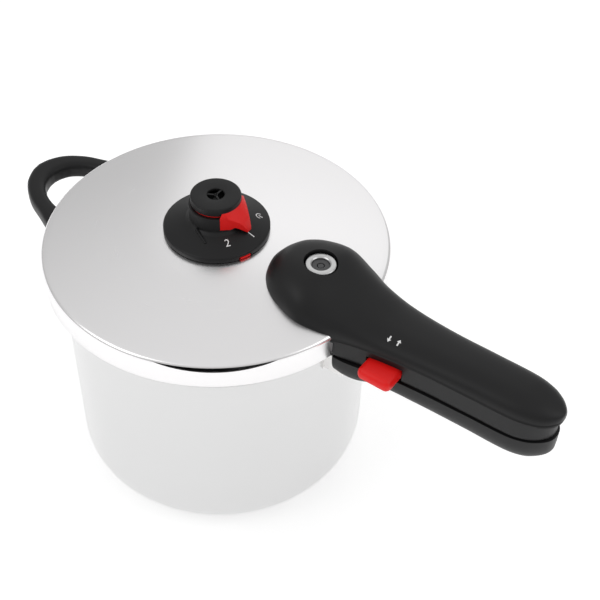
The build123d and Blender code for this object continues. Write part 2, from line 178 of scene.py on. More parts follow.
def turned(outline: BMesh, steps: int = 144, degrees: float = 360.0) -> BMesh:
    """Spins an outline about Z.

    Args:
        outline: Closed wire, or an open one that starts and ends on the axis.
        steps: Segments of the turn.
        degrees: Angle of the turn.

    Returns:
        The solid of revolution.
    """
    whole = degrees == 360.0
    rim = outline.edges[:]
    bmesh.ops.spin(
        outline, geom=outline.verts[:] + rim, cent=(0.0, 0.0, 0.0), axis=(0.0, 0.0, 1.0),
        angle=math.radians(degrees), steps=steps, use_merge=whole,
    )
    if not whole:
        bmesh.ops.holes_fill(outline, edges=[edge for edge in outline.edges if edge.is_boundary])
    return tidy(outline)


def prism(outline: BMesh, low: float, high: float) -> BMesh:
    """Fills a closed XZ outline and stretches it along Y.

    Args:
        outline: The closed wire.
        low: Lowest Y.
        high: Highest Y.

    Returns:
        The closed prism.
    """
    bmesh.ops.translate(outline, verts=outline.verts, vec=(0.0, low, 0.0))
    bmesh.ops.contextual_create(outline, geom=outline.edges[:])
    made = bmesh.ops.extrude_face_region(outline, geom=outline.faces[:])
    moved = [item for item in made["geom"] if isinstance(item, BMVert)]
    bmesh.ops.translate(outline, verts=moved, vec=(0.0, high - low, 0.0))
    return tidy(outline)


def box(low: Sequence[float], high: Sequence[float], rounding: float = 0.0, steps: int = 3) -> BMesh:
    """Block between two corners, with rounded edges.

    Args:
        low: Lowest corner.
        high: Highest corner.
        rounding: Radius of all edges.
        steps: Segments of that radius.

    Returns:
        The block.
    """
    bm = bmesh.new()
    bmesh.ops.create_cube(bm, size=1.0)
    bmesh.ops.scale(bm, verts=bm.verts, vec=[top - bottom for bottom, top in zip(low, high)])
    bmesh.ops.translate(bm, verts=bm.verts, vec=[(top + bottom) / 2 for bottom, top in zip(low, high)])
    if rounding:
        bmesh.ops.bevel(
            bm, geom=bm.edges[:], offset=rounding, segments=steps, profile=0.5, affect="EDGES",
            material=-1, clamp_overlap=True,
        )
    return tidy(bm)


def join(parts: Iterable[BMesh]) -> BMesh:
    """Gathers several meshes into one.

    Args:
        parts: The meshes, which are freed.

    Returns:
        The mesh that holds them all.
    """
    whole = bmesh.new()
    for part in parts:
        mesh = bpy.data.meshes.new("part")
        part.to_mesh(mesh)
        part.free()
        whole.from_mesh(mesh)
        bpy.data.meshes.remove(mesh)
    return whole


def rotated(bm: BMesh, degrees: float, axis: str) -> BMesh:
    """Turns a mesh about an axis through the origin.

    Args:
        bm: The mesh.
        degrees: The turn.
        axis: Name of the axis.

    Returns:
        The same mesh.
    """
    turn = Matrix.Rotation(math.radians(degrees), 3, axis)
    bmesh.ops.rotate(bm, verts=bm.verts, cent=(0.0, 0.0, 0.0), matrix=turn)
    return bm


def moved(bm: BMesh, offset: Sequence[float] = (0, 0, 0), turn: float = 0.0) -> BMesh:
    """Turns a mesh about Z, then moves it.

    Args:
        bm: The mesh.
        offset: The move.
        turn: The turn in degrees.

    Returns:
        The same mesh.
    """
    rotated(bm, turn, "Z")
    bmesh.ops.translate(bm, verts=bm.verts, vec=offset)
    return bm


def blended(stations: Sequence[Sequence[float]], x: float) -> list[float]:
    """Reads a table of sections between its rows.

    Args:
        stations: Rows that start with x, in rising order.
        x: Where to read.

    Returns:
        The other columns at x, by smooth interpolation.
    """
    rows = list(stations)
    last = len(rows) - 1
    index = max(i for i in range(last) if i == 0 or rows[i][0] <= x)
    before, start = rows[max(index - 1, 0)], rows[index]
    end, after = rows[index + 1], rows[min(index + 2, last)]
    width = end[0] - start[0]
    share = min(max((x - start[0]) / width, 0.0), 1.0)
    values = []
    for column in range(1, len(start)):
        slope_in = (end[column] - before[column]) / max(end[0] - before[0], 1e-6) * width
        slope_out = (after[column] - start[column]) / max(after[0] - start[0], 1e-6) * width
        a, b = start[column], end[column]
        values.append(
            a * (2 * share**3 - 3 * share**2 + 1) + slope_in * (share**3 - 2 * share**2 + share)
            + b * (3 * share**2 - 2 * share**3) + slope_out * (share**3 - share**2)
        )
    return values


def run(points: Sequence[Point], share: float) -> Point:
    """Point on a smooth plan curve.

    Args:
        points: Points that the curve passes through.
        share: Part of the way along, from 0 to 1.

    Returns:
        The point (x, y).
    """
    length = [0.0]
    for one, other in zip(points, points[1:]):
        length.append(length[-1] + math.dist(one, other))
    rows = [(way, *point) for way, point in zip(length, points)]
    x, y = blended(rows, share * length[-1])
    return x, y


def skin(columns: int, rows: int, place: Callable[[float, float], Vector]) -> BMesh:
    """Closed skin made from a grid whose vertices are moved into place.

    Args:
        columns: Segments along u.
        rows: Segments along v; the first and last row meet.
        place: Gives a vertex's position from its u and v, both from 0 to 1.

    Returns:
        The closed skin.
    """
    bm = bmesh.new()
    bmesh.ops.create_grid(bm, x_segments=columns, y_segments=rows, size=0.5)
    for vert in bm.verts:
        vert.co = place(vert.co.x + 0.5, vert.co.y + 0.5)
    bmesh.ops.remove_doubles(bm, verts=bm.verts, dist=1e-3)
    bmesh.ops.holes_fill(bm, edges=[edge for edge in bm.edges if edge.is_boundary])
    return tidy(bm)


def to_object(bm: BMesh, name: str) -> bpy.types.Object:
    """Puts a mesh into the scene.

    Args:
        bm: The mesh, which is freed.
        name: Name of the object.

    Returns:
        The object, in the mesh's own units.
    """
    mesh = bpy.data.meshes.new(name)
    bm.to_mesh(mesh)
    bm.free()
    piece = bpy.data.objects.new(name, mesh)
    bpy.context.scene.collection.objects.link(piece)
    return piece


def cut(solid: BMesh, *cutters: BMesh, operation: str = "DIFFERENCE") -> BMesh:
    """Cuts closed meshes out of a solid.

    Args:
        solid: The mesh that is cut.
        cutters: Closed meshes.
        operation: The Boolean modifier's operation.

    Returns:
        What is left.
    """
    target = to_object(solid, "target")
    tools = [to_object(cutter, "tool") for cutter in cutters]
    for tool in tools:
        modifier = target.modifiers.new("cut", "BOOLEAN")
        modifier.operation = operation
        modifier.solver = "EXACT"
        modifier.object = tool
    bpy.context.view_layer.update()
    seen = target.evaluated_get(bpy.context.evaluated_depsgraph_get())
    result = bmesh.new()
    result.from_mesh(seen.to_mesh())
    seen.to_mesh_clear()
    for gone in (target, *tools):
        mesh = gone.data
        bpy.data.objects.remove(gone)
        bpy.data.meshes.remove(mesh)
    return tidy(result)


def drum(radius: float, low: float, high: float, x: float = 0.0, y: float = 0.0, steps: int = 64) -> BMesh:
    """Upright cylinder.

    Args:
        radius: Its radius.
        low: Bottom Z.
        high: Top Z.
        x: Axis X.
        y: Axis Y.
        steps: Segments round it.

    Returns:
        The cylinder.
    """
    bm = bmesh.new()
    bmesh.ops.create_cone(
        bm, cap_ends=True, segments=steps, radius1=radius, radius2=radius, depth=high - low,
        matrix=Matrix.Translation((x, y, (low + high) / 2)),
    )
    return tidy(bm)


def sector(inner: float, outer: float, low: float, high: float, centre: float, arc: float) -> BMesh:
    """Ring segment.

    Args:
        inner: Inside radius.
        outer: Outside radius.
        low: Bottom Z.
        high: Top Z.
        centre: Middle of the segment in degrees.
        arc: Width of the segment in degrees.

    Returns:
        The segment.
    """
    outline = Pen(inner, low).line(outer, low).line(outer, high).line(inner, high).close().done()
    return moved(turned(outline, steps=20, degrees=arc), turn=centre - arc / 2)


def draped(mark: BMesh, surface: BVHTree, lift: float = 0.05) -> BMesh:
    """Lays a flat mark on the surface below it.

    Args:
        mark: Flat mesh, already at its place in plan.
        surface: The surface, in millimetres.
        lift: Height above the surface.

    Returns:
        The mark.
    """
    bmesh.ops.triangulate(mark, faces=mark.faces)
    long_edges = [edge for edge in mark.edges if edge.calc_length() > 1.2]
    bmesh.ops.subdivide_edges(mark, edges=long_edges, cuts=3, use_grid_fill=True)
    for vert in mark.verts:
        hit = surface.ray_cast(Vector((vert.co.x, vert.co.y, 400.0)), Vector((0.0, 0.0, -1.0)))[0]
        if hit:
            vert.co.z = hit.z + lift
    return mark


def glyph(character: str, size: float) -> BMesh:
    """Flat character, centred on the origin, top towards +Y.

    Args:
        character: The character.
        size: Its size.

    Returns:
        The flat mesh.
    """
    curve = bpy.data.curves.new("glyph", "FONT")
    curve.body = character
    curve.size = size
    curve.align_x = "CENTER"
    curve.align_y = "CENTER"
    curve.resolution_u = 4
    text = bpy.data.objects.new("glyph", curve)
    bpy.context.scene.collection.objects.link(text)
    bpy.context.view_layer.update()
    seen = text.evaluated_get(bpy.context.evaluated_depsgraph_get())
    bm = bmesh.new()
    bm.from_mesh(seen.to_mesh())
    seen.to_mesh_clear()
    bpy.data.objects.remove(text)
    bpy.data.curves.remove(curve)
    return bm


# ---------------------------------------------------------------- finishes


@dataclass(frozen=True)
class Finish:
    """A surface: colour, gloss and the fine structure that breaks it up."""

    name: str
    color: tuple[float, float, float]
    roughness: float
    metallic: float = 0.0
    brushing: Brushing = Brushing.PLAIN
    lines: float = 900.0
    spread: float = 0.05
    shade: float = 0.06
    bump: float = 0.04
    specular: float = 0.5


LID_STEEL = Finish("lid_steel", (0.91, 0.90, 0.905), 0.26, 1.0, Brushing.RINGS, 1400.0, 0.05, 0.03, 0.010)
POT_STEEL = Finish(
    "pot_steel", (0.70, 0.70, 0.70), 0.20, 1.0, Brushing.ROUND_THE_WALL, 1100.0, 0.05, 0.03, 0.008,
)
PLAIN_STEEL = Finish("bracket_steel", (0.80, 0.79, 0.78), 0.28, 1.0, Brushing.PLAIN, 500.0, 0.08, 0.05, 0.02)
SCREW_STEEL = Finish("screw_steel", (0.70, 0.69, 0.67), 0.30, 1.0, Brushing.PLAIN, 700.0, 0.10, 0.08, 0.03)
SPRING_STEEL = Finish("spring_steel", (0.58, 0.57, 0.56), 0.28, 1.0, Brushing.PLAIN, 900.0, 0.08, 0.06, 0.02)
BASE_STEEL = Finish("base_steel", (0.78, 0.77, 0.76), 0.34, 1.0, Brushing.RINGS, 900.0, 0.08, 0.05, 0.02)
ALUMINIUM = Finish("base_aluminium", (0.74, 0.75, 0.76), 0.45, 1.0, Brushing.PLAIN, 300.0, 0.10, 0.06, 0.04)
VALVE_STEEL = Finish("valve_steel", (0.60, 0.60, 0.60), 0.30, 1.0, Brushing.RINGS, 2500.0, 0.06, 0.04, 0.01)
BRASS = Finish("valve_brass", (0.78, 0.58, 0.27), 0.26, 1.0, Brushing.PLAIN, 700.0, 0.08, 0.06, 0.02)
BLACK = Finish(
    "black_plastic", (0.009, 0.009, 0.0095), 0.42, bump=0.05, lines=1600.0, spread=0.06,
    shade=0.15, specular=0.28,
)
DARK_PLUG = Finish("dark_plug", (0.06, 0.06, 0.062), 0.45, bump=0.04, lines=1200.0)
RED = Finish("red_plastic", (0.80, 0.007, 0.006), 0.42, bump=0.03, lines=1200.0, shade=0.05, specular=0.3)
RUBBER = Finish("black_silicone", (0.018, 0.018, 0.019), 0.55, bump=0.06, lines=700.0)
MARKING = Finish("white_marking", (0.82, 0.82, 0.82), 0.5, bump=0.02, lines=900.0)

NODE_FINISHES = {
    "pot_steel": POT_STEEL,
    "lid_steel": LID_STEEL,
    "base_aluminium": ALUMINIUM,
    "base_steel": BASE_STEEL,
    "bracket_steel": PLAIN_STEEL,
    "screw_steel": SCREW_STEEL,
    "spring_steel": SPRING_STEEL,
    "valve_steel": VALVE_STEEL,
    "valve_brass": BRASS,
    "black_plastic": BLACK,
    "dark_plug": DARK_PLUG,
    "red_plastic": RED,
    "black_silicone": RUBBER,
}

# The needle shows only through the steam outlet; it is given black plastic as painted shade for the dark
# hole, in place of its record's finish.
SHADE_PAINTED_NODES = {"regulator_needle": BLACK}


class Workshop:
    """Makes the shader node groups and the materials, each one once."""

    def __init__(self) -> None:
        """Makes the shared groups."""
        self.made: dict[str, bpy.types.Material] = {}
        self.grain = self.grain_group()

    def grain_group(self) -> bpy.types.NodeTree:
        """Fine structure of a surface: small changes of tone, gloss and height.

        Returns:
            The group, with inputs Vector, Tone, Gloss, Shade and Spread.
        """
        group = bpy.data.node_groups.new("surface_grain", "ShaderNodeTree")
        sockets = group.interface
        sockets.new_socket("Vector", in_out="INPUT", socket_type="NodeSocketVector")
        sockets.new_socket("Tone", in_out="INPUT", socket_type="NodeSocketColor")
        for name in ("Gloss", "Shade", "Spread"):
            sockets.new_socket(name, in_out="INPUT", socket_type="NodeSocketFloat")
        sockets.new_socket("Color", in_out="OUTPUT", socket_type="NodeSocketColor")
        sockets.new_socket("Roughness", in_out="OUTPUT", socket_type="NodeSocketFloat")
        sockets.new_socket("Height", in_out="OUTPUT", socket_type="NodeSocketFloat")
        nodes, links = group.nodes, group.links
        entry = nodes.new("NodeGroupInput")
        leave = nodes.new("NodeGroupOutput")
        fine = nodes.new("ShaderNodeTexNoise")
        fine.inputs["Scale"].default_value = 1.0
        fine.inputs["Detail"].default_value = 3.0
        broad = nodes.new("ShaderNodeTexNoise")
        broad.inputs["Scale"].default_value = 0.03
        broad.inputs["Detail"].default_value = 2.0
        both = nodes.new("ShaderNodeMath")
        both.operation = "MULTIPLY_ADD"
        both.inputs[1].default_value = 0.6
        centred = nodes.new("ShaderNodeMath")
        centred.operation = "SUBTRACT"
        centred.inputs[1].default_value = 0.8
        gloss = nodes.new("ShaderNodeMath")
        gloss.operation = "MULTIPLY_ADD"
        darker = nodes.new("ShaderNodeMath")
        darker.operation = "MULTIPLY_ADD"
        darker.inputs[2].default_value = 1.0
        tint = nodes.new("ShaderNodeVectorMath")
        tint.operation = "SCALE"
        links.new(entry.outputs["Vector"], fine.inputs["Vector"])
        links.new(entry.outputs["Vector"], broad.inputs["Vector"])
        links.new(broad.outputs["Fac"], both.inputs[0])
        links.new(fine.outputs["Fac"], both.inputs[2])
        links.new(both.outputs[0], centred.inputs[0])
        links.new(centred.outputs[0], gloss.inputs[0])
        links.new(entry.outputs["Spread"], gloss.inputs[1])
        links.new(entry.outputs["Gloss"], gloss.inputs[2])
        links.new(centred.outputs[0], darker.inputs[0])
        links.new(entry.outputs["Shade"], darker.inputs[1])
        links.new(entry.outputs["Tone"], tint.inputs[0])
        links.new(darker.outputs[0], tint.inputs["Scale"])
        links.new(tint.outputs[0], leave.inputs["Color"])
        links.new(gloss.outputs[0], leave.inputs["Roughness"])
        links.new(fine.outputs["Fac"], leave.inputs["Height"])
        return group

    def coordinates(self, tree: bpy.types.NodeTree, finish: Finish) -> bpy.types.NodeSocket:
        """Coordinates that stretch the grain the way the surface was worked.

        Args:
            tree: The material's nodes.
            finish: The finish.

        Returns:
            The socket with the coordinates.
        """
        nodes, links = tree.nodes, tree.links
        place = nodes.new("ShaderNodeTexCoord")
        mapping = nodes.new("ShaderNodeMapping")
        if finish.brushing is Brushing.PLAIN:
            mapping.inputs["Scale"].default_value = (finish.lines,) * 3
            links.new(place.outputs["Object"], mapping.inputs["Vector"])
            return mapping.outputs["Vector"]
        parts = nodes.new("ShaderNodeSeparateXYZ")
        angle = nodes.new("ShaderNodeMath")
        angle.operation = "ARCTAN2"
        flat = nodes.new("ShaderNodeVectorMath")
        flat.operation = "MULTIPLY"
        flat.inputs[1].default_value = (1.0, 1.0, 0.0)
        radius = nodes.new("ShaderNodeVectorMath")
        radius.operation = "LENGTH"
        worked = nodes.new("ShaderNodeCombineXYZ")
        links.new(place.outputs["Object"], parts.inputs[0])
        links.new(place.outputs["Object"], flat.inputs[0])
        links.new(flat.outputs[0], radius.inputs[0])
        links.new(parts.outputs["Y"], angle.inputs[0])
        links.new(parts.outputs["X"], angle.inputs[1])
        links.new(radius.outputs["Value"], worked.inputs["X"])
        links.new(angle.outputs[0], worked.inputs["Y"])
        links.new(parts.outputs["Z"], worked.inputs["Z"])
        rings = finish.brushing is Brushing.RINGS
        stretch = (finish.lines, 3.0, 40.0) if rings else (40.0, 3.0, finish.lines)
        mapping.inputs["Scale"].default_value = stretch
        links.new(worked.outputs[0], mapping.inputs["Vector"])
        return mapping.outputs["Vector"]

    def material(self, finish: Finish) -> bpy.types.Material:
        """Material of a finish.

        Args:
            finish: The finish.

        Returns:
            The material.
        """
        if finish.name in self.made:
            return self.made[finish.name]
        material = bpy.data.materials.new(finish.name)
        material.use_nodes = True
        tree = material.node_tree
        nodes, links = tree.nodes, tree.links
        shader = nodes["Principled BSDF"]
        shader.inputs["Metallic"].default_value = finish.metallic
        shader.inputs["Specular IOR Level"].default_value = finish.specular
        grain = nodes.new("ShaderNodeGroup")
        grain.node_tree = self.grain
        grain.inputs["Tone"].default_value = (*finish.color, 1.0)
        grain.inputs["Gloss"].default_value = finish.roughness
        grain.inputs["Shade"].default_value = finish.shade
        grain.inputs["Spread"].default_value = finish.spread
        bump = nodes.new("ShaderNodeBump")
        bump.inputs["Strength"].default_value = finish.bump
        bump.inputs["Distance"].default_value = 0.0002
        links.new(self.coordinates(tree, finish), grain.inputs["Vector"])
        links.new(grain.outputs["Color"], shader.inputs["Base Color"])
        links.new(grain.outputs["Roughness"], shader.inputs["Roughness"])
        links.new(grain.outputs["Height"], bump.inputs["Height"])
        links.new(bump.outputs["Normal"], shader.inputs["Normal"])
        self.made[finish.name] = material
        return material


WORKSHOP = Workshop()


def dress(
    bm: BMesh, name: str, body: Body, finish: Finish, nodes: Sequence[str] = (), edge: float = 0.0,
    sharp: float = 40.0,
) -> bpy.types.Object:
    """Finishes a mesh and puts it on its body.

    Args:
        bm: The mesh, in millimetres.
        name: The piece's name.
        body: The body it moves with.
        finish: Its finish.
        nodes: CAD nodes that it stands for.
        edge: Width of the rounding on its sharp edges, in millimetres.
        sharp: Edges steeper than this, in degrees, count as sharp.

    Returns:
        The piece.
    """
    bmesh.ops.scale(bm, verts=bm.verts, vec=(MM, MM, MM))
    piece = to_object(bm, name)
    piece.data.shade_smooth()
    if edge:
        rounding = piece.modifiers.new("edges", "BEVEL")
        rounding.width = edge * MM
        rounding.segments = 3
        rounding.limit_method = "ANGLE"
        rounding.angle_limit = math.radians(sharp)
        rounding.harden_normals = False
        rounding.use_clamp_overlap = True
        normals = piece.modifiers.new("normals", "WEIGHTED_NORMAL")
        normals.keep_sharp = True
    else:
        piece.data.set_sharp_from_angle(angle=math.radians(sharp))
    piece.data.materials.append(WORKSHOP.material(finish))
    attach(piece, body.value)
    finish.name if finish.name in NODE_FINISHES else "black_plastic"
    if nodes:
        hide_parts(*nodes)
    log.info("%s on %s, %d faces", name, body.value, len(piece.data.polygons))
    return piece


# ---------------------------------------------------------------- pot


@dataclass
class Pot:
    """Vessel with its widened neck, rim and bayonet lugs, on a capped base disc."""

    radius: float = 111.0
    wall: float = 1.0
    floor_z: float = 5.5
    corner: float = 22.0
    neck: float = 116.0
    flare: tuple[float, float] = (166.0, 177.0)
    flare_radius: float = 9.0
    rim_z: float = 191.0
    rim: tuple[float, float] = (116.4, 2.0)
    lug_radius: float = 119.8
    lugs: int = 6
    lug_arc: float = 26.0
    base_radius: float = 90.0

    def vessel(self) -> BMesh:
        """Sheet steel vessel with the rolled rim.

        Returns:
            The vessel.
        """
        t = self.wall
        rim_radius, rim_height = self.rim
        inside = self.radius - t
        low, high = self.flare
        outline = (
            Pen(0.0, self.floor_z)
            .line(self.radius, self.floor_z, self.corner, 12)
            .line(self.radius, low, self.flare_radius, 6)
            .line(self.neck, high, self.flare_radius, 6)
            .line(self.neck, self.rim_z - rim_height)
            .line(rim_radius, self.rim_z - rim_height)
            .line(rim_radius, self.rim_z, 0.7, 4)
            .line(self.neck - t, self.rim_z, 0.5, 3)
            .line(self.neck - t, high, self.flare_radius, 6)
            .line(inside, low, self.flare_radius, 6)
            .line(inside, self.floor_z + t, self.corner - t, 12)
            .line(0.0, self.floor_z + t)
        )
        return turned(outline.done(), steps=192)

    def lug_ring(self) -> list[BMesh]:
        """Bayonet lugs of the rim.

        Returns:
            One mesh for each lug.
        """
        low = self.rim_z - self.rim[1]
        pitch = 360.0 / self.lugs
        return [
            sector(self.neck - 0.5, self.lug_radius, low, self.rim_z, index * pitch, self.lug_arc)
            for index in range(self.lugs)
        ]

    def base(self) -> BMesh:
        """Cup that covers the heat-spreading disc.

        Returns:
            The cup.
        """
        top = self.floor_z - 0.2
        outline = (
            Pen(0.0, 0.0).line(self.base_radius, 0.0, 0.7, 4).line(self.base_radius, top)
            .line(self.base_radius - 1.0, top).line(self.base_radius - 1.0, 0.8).line(0.0, 0.8)
        )
        return turned(outline.done(), steps=144)

    def build(self) -> None:
        """Builds and dresses the pot."""
        vessel = join([self.vessel(), *self.lug_ring()])
        dress(vessel, "vessel", Body.POT, POT_STEEL, ["pot_body"], sharp=35.0)
        dress(self.base(), "base_cup", Body.POT, BASE_STEEL, ["base_cap"])


# ---------------------------------------------------------------- lid


@dataclass
class Lid:
    """Domed lid with a lens-shaped relief window in its skirt."""

    radius: float = 123.0
    wall: float = 1.2
    skirt_z: float = 181.0
    dome_radius: float = 742.0
    top_z: float = 209.8
    edge: float = 3.0
    tab_radius: float = 116.8
    tab_z: tuple[float, float] = (186.6, 188.4)
    tabs: int = 6
    tab_arc: float = 26.0
    stem_hole: float = 6.1
    stud_hole: tuple[float, float] = (88.0, 5.1)
    window_angle: float = -52.0
    window_half: float = 40.0
    window_z: tuple[float, float] = (194.8, 198.5)

    def bend(self) -> tuple[float, float, Point]:
        """Where the dome turns into the skirt.

        Returns:
            Height of the dome's centre, its sweep in degrees, and the centre of the bend.
        """
        centre_z = self.top_z - self.dome_radius
        edge_x = self.radius - self.edge
        sweep = math.asin(edge_x / (self.dome_radius - self.edge))
        edge_z = centre_z + (self.dome_radius - self.edge) * math.cos(sweep)
        return centre_z, math.degrees(sweep), (edge_x, edge_z)

    def dome(self) -> BMesh:
        """Solid below the lid's outer surface, which cuts the foot of what stands on the lid.

        Returns:
            The solid.
        """
        centre_z, arc, bend = self.bend()
        outline = (
            Pen(0.0, self.top_z)
            .arc((0.0, centre_z), -arc, 26)
            .arc(bend, arc - 90.0, 8)
            .line(self.radius, 150.0)
            .line(0.0, 150.0)
        )
        return turned(outline.done(), steps=192)

    def shell(self) -> BMesh:
        """Pressed shell with window and holes.

        Returns:
            The shell.
        """
        centre_z, arc, bend = self.bend()
        outline = (
            Pen(0.0, self.top_z)
            .arc((0.0, centre_z), -arc, 26)
            .arc(bend, arc - 90.0, 8)
            .line(self.radius, self.skirt_z, 0.4, 3)
            .line(self.radius - self.wall, self.skirt_z, 0.4, 3)
            .line(self.radius - self.wall, bend[1])
            .arc(bend, 90.0 - arc, 6)
            .arc((0.0, centre_z), arc, 20)
        )
        shell = turned(outline.done(), steps=192)
        low, high = self.window_z
        reach = (self.window_half**2 + (high - low) ** 2) / (2 * (high - low))
        half_angle = math.degrees(math.asin(self.window_half / reach))
        lens = Pen(-self.window_half, high).arc((0.0, low + reach), 2 * half_angle, 32).close().done()
        window = prism(lens, self.radius - 18.0, self.radius + 7.0)
        moved(window, turn=self.window_angle - 90.0)
        stud_x, stud_radius = self.stud_hole
        holes = drum(self.stem_hole, 200, 212), drum(stud_radius, 190, 212, stud_x, steps=32)
        return cut(shell, window, *holes)

    def tab_ring(self) -> list[BMesh]:
        """Bayonet tabs inside the skirt.

        Returns:
            One mesh for each tab.
        """
        pitch = 360.0 / self.tabs
        outer = self.radius - self.wall / 2
        return [
            sector(self.tab_radius, outer, *self.tab_z, index * pitch, self.tab_arc)
            for index in range(self.tabs)
        ]

    def build(self) -> None:
        """Builds and dresses the lid."""
        dress(join([self.shell(), *self.tab_ring()]), "lid", Body.LID, LID_STEEL, ["lid_shell"], sharp=35.0)


# ---------------------------------------------------------------- long handles


@dataclass
class LongHandle:
    """A moulding along +X with one flat face and one crowned face.

    `stations` are (x, half width, crown z, fullness); fullness 2 is an ellipse, more is squarer.
    """

    stations: Sequence[Sequence[float]]
    flat_z: float
    inner_radius: float = 0.0
    lip: float = 0.0
    columns: int = 90
    around: int = 44
    across: int = 8
    relax: float = 18.0

    def mould(self, inset: float = 0.0, trim: int = 0, below: float = 0.0) -> BMesh:
        """Outer moulding, or with an inset the hollow inside it.

        Args:
            inset: How far the skin moves in.
            trim: Stations left out at each end.
            below: How far the flat face is moved out.

        Returns:
            The closed moulding.
        """
        rows = self.stations[trim:len(self.stations) - trim]
        first, last = rows[0][0], rows[-1][0]
        total = self.around + self.across

        def place(u: float, v: float) -> Vector:
            """Position of a grid vertex.

            Args:
                u: Part of the way along the moulding.
                v: Part of the way round its section.

            Returns:
                The position.
            """
            way_along = 0.5 - 0.5 * math.cos(math.pi * u)
            if self.inner_radius:
                way_along = math.sin(math.pi * u / 2)
            x = first + (last - first) * way_along
            half, crown, fullness = blended(rows, x)
            half = max(half - inset, 0.3)
            way = math.copysign(1.0, crown - self.flat_z)
            lift = max(abs(crown - self.flat_z) - inset, 0.2)
            step = round(v * total)
            rim = min(step, self.around - step)
            if rim < 0:
                y = half * (2.0 * (step - self.around) / self.across - 1.0)
                z = self.flat_z - below * way
            else:
                angle = math.pi * step / self.around
                c, up = math.cos(angle), abs(math.sin(angle))
                grow = (abs(c) ** fullness + up**fullness) ** (-1.0 / fullness)
                y, z = (half - self.lip) * grow * c, self.flat_z + lift * way * grow * up
                if rim < 3 and self.lip and lift > 4.0:
                    y = math.copysign(half - (0.0, 0.0, self.lip)[rim], c)
                    z = self.flat_z + way * (0.0, 1.3, 1.9)[rim]
                if rim == 0:
                    z = self.flat_z - below * way
            if self.inner_radius:
                bow = self.inner_radius - math.sqrt(self.inner_radius**2 - y**2)
                x -= bow * max(0.0, 1.0 - (x - first) / self.relax)
            return Vector((x, y, z))

        return skin(self.columns, total, place)


@dataclass
class LidHandle:
    """Cover over a band with the lock slider across it."""

    lid: Lid
    cover_stations: tuple = (
        (50.8, 3, 210, 2.5), (51.4, 10, 212, 2.5), (53.5, 16.6, 214.8, 2.5), (57.6, 22.6, 219, 2.5),
        (65, 29, 223.6, 2.6), (77, 34.6, 226.2, 2.7), (93, 38, 225.6, 2.7), (110, 35.4, 218.4, 2.4),
        (126, 29.4, 212.8, 2.5), (148, 24.9, 208, 2.6), (180, 21.7, 207, 2.6), (215, 20.5, 208, 2.6),
        (244, 19.8, 208, 2.6), (256, 17.4, 206.4, 2.6), (263.5, 13.6, 204.2, 2.6), (268, 9.2, 202.4, 2.6),
        (270.2, 5.2, 201, 2.6), (270.8, 2, 200, 2.6),
    )
    cover_z: float = 195.0
    band_widths: tuple = (
        (123.3, 29.3), (127, 28.7), (148, 24.3), (180, 21.2), (215, 20.0), (245, 19.2), (255, 16.5),
        (261.5, 12.3), (265.7, 7.6), (267.4, 3.8), (267.9, 1.2),
    )
    band_z: tuple[float, float] = (180.0, 194.6)
    wall: float = 3.6
    valve: tuple[float, float] = (88.0, 11.6)
    slot_x: tuple[float, float] = (142.7, 168.3)
    slot_z: tuple[float, float] = (181.1, 191.3)

    def cover(self) -> BMesh:
        """Hollow cover, open below, with the hole for the safety valve.

        Returns:
            The cover.
        """
        shape = LongHandle(self.cover_stations, self.cover_z, lip=0.8, columns=130)
        x, radius = self.valve
        hollow = shape.mould(inset=self.wall, trim=2, below=8.0)
        return cut(shape.mould(), hollow, self.lid.dome(), drum(radius, 190, 240, x))

    def band(self) -> BMesh:
        """Tray under the cover, with the slot for the slider.

        Returns:
            The band.
        """
        low, high = self.band_z
        rows = [(x, half, low, 24.0) for x, half in self.band_widths]
        shape = LongHandle(rows, high, inner_radius=123.3)
        inner_rows = [
            (x + (3.0 if x < 125 else 0.0), max(half - 3.0, 0.8), low + 3.0, 9.0)
            for x, half, _, _ in rows[:-3]
        ]
        hollow = LongHandle(inner_rows, high + 2.0, inner_radius=126.3)
        slot = box((self.slot_x[0], -60, self.slot_z[0]), (self.slot_x[1], 60, self.slot_z[1]))
        return cut(shape.mould(), hollow.mould(), slot)

    def slider(self) -> BMesh:
        """Lock slider with a button at each side.

        Returns:
            The slider.
        """
        near = box((143.0, -38.0, 181.4), (168.0, -14.0, 191.0), 4.2, 8)
        far = box((143.0, 12.0, 181.4), (168.0, 22.3, 191.0), 1.4, 4)
        bar = box((146.0, -16.0, 183.6), (165.0, 14.0, 189.0), 0.3, 2)
        return join([near, bar, far])

    def arrow(self, way: float) -> BMesh:
        """Flat arrow that shows a direction of the slider.

        Args:
            way: +1 points to +Y, -1 to -Y.

        Returns:
            The arrow, centred on the origin.
        """
        outline = (
            Pen(-0.5, -2.2).line(0.5, -2.2).line(0.5, 0.2).line(1.5, 0.2).line(0.0, 2.2).line(-1.5, 0.2)
            .line(-0.5, 0.2)
        )
        flat = outline.close().done()
        bmesh.ops.contextual_create(flat, geom=flat.edges[:])
        return moved(rotated(flat, -90.0, "X"), turn=180.0 * (way < 0))

    def build(self) -> None:
        """Builds and dresses the lid handle."""
        cover = self.cover()
        surface = BVHTree.FromBMesh(cover)
        marks = [
            draped(moved(self.arrow(-1.0), (152.8, -15.2, 0.0)), surface),
            draped(moved(self.arrow(1.0), (159.4, -14.4, 0.0)), surface),
        ]
        dress(cover, "handle_cover", Body.LID, BLACK, ["lid_handle_cover"], edge=0.7, sharp=50.0)
        dress(join(marks), "slider_arrows", Body.LID, MARKING)
        dress(self.band(), "handle_band", Body.LID, BLACK, ["lid_handle_base"], edge=0.4, sharp=55.0)
        dress(self.slider(), "lock_button", Body.LOCK, RED, ["lock_slider"])


